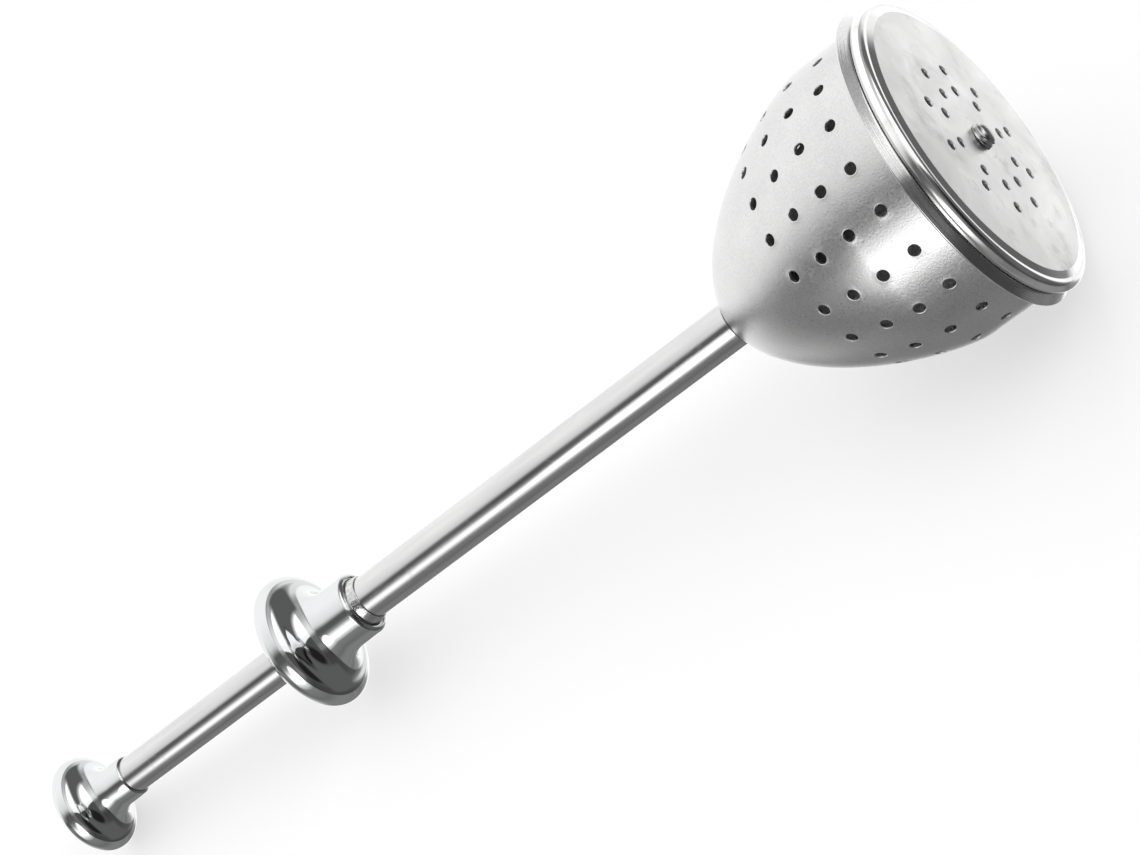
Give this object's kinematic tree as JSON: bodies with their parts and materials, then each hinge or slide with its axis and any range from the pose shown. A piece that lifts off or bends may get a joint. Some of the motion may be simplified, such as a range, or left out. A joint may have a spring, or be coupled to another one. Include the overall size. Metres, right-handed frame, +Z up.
{
  "type": "tea infuser",
  "caption": "Push-open tea infuser: a perforated bell basket with a flat perforated lid, on a tubular handle with a finger collar and a sprung thumb knob.",
  "frame": {"origin": "centre of the knob's flat end face, on the axis that all pieces share", "axes": "+X along the axis, from the knob towards the lid; the infuser lies along X with +Z up"},
  "size_m": [0.1874, 0.0486, 0.0486],
  "materials": {
    "satin_steel": "fine satin, polished lip",
    "lid_steel": "matt face with fine scratches, buffed edge",
    "tube_steel": "polished lengthwise",
    "chrome": "mirror",
    "turned_steel": "turned",
    "spring_steel": "drawn wire"
  },
  "bodies": {
    "handle": {"basket": "satin_steel", "handle_tube": "tube_steel", "tube_bush": "turned_steel", "collar": "chrome", "collar_sleeve": "turned_steel", "guide_ring": "turned_steel", "return_spring": "spring_steel"},
    "spring_seat": {"spring_seat": "turned_steel"},
    "plunger": {"push_tube": "tube_steel", "knob": "chrome", "stem_plug": "turned_steel", "stem": "turned_steel", "lid": "lid_steel", "lid_nut": "turned_steel"}
  },
  "joints": [
    {"name": "push_slide", "type": "slide", "parent": "handle", "child": "spring_seat", "axis": [1, 0, 0], "range_m": [0, 0.038], "stiffness_N_per_m": 280, "springref_m": -0.014, "deforming": ["return_spring"]},
    {"name": "plunger_spin", "type": "hinge", "parent": "spring_seat", "child": "plunger", "pos_m": [0.06, 0, 0], "axis": [1, 0, 0], "continuous": true}
  ]
}
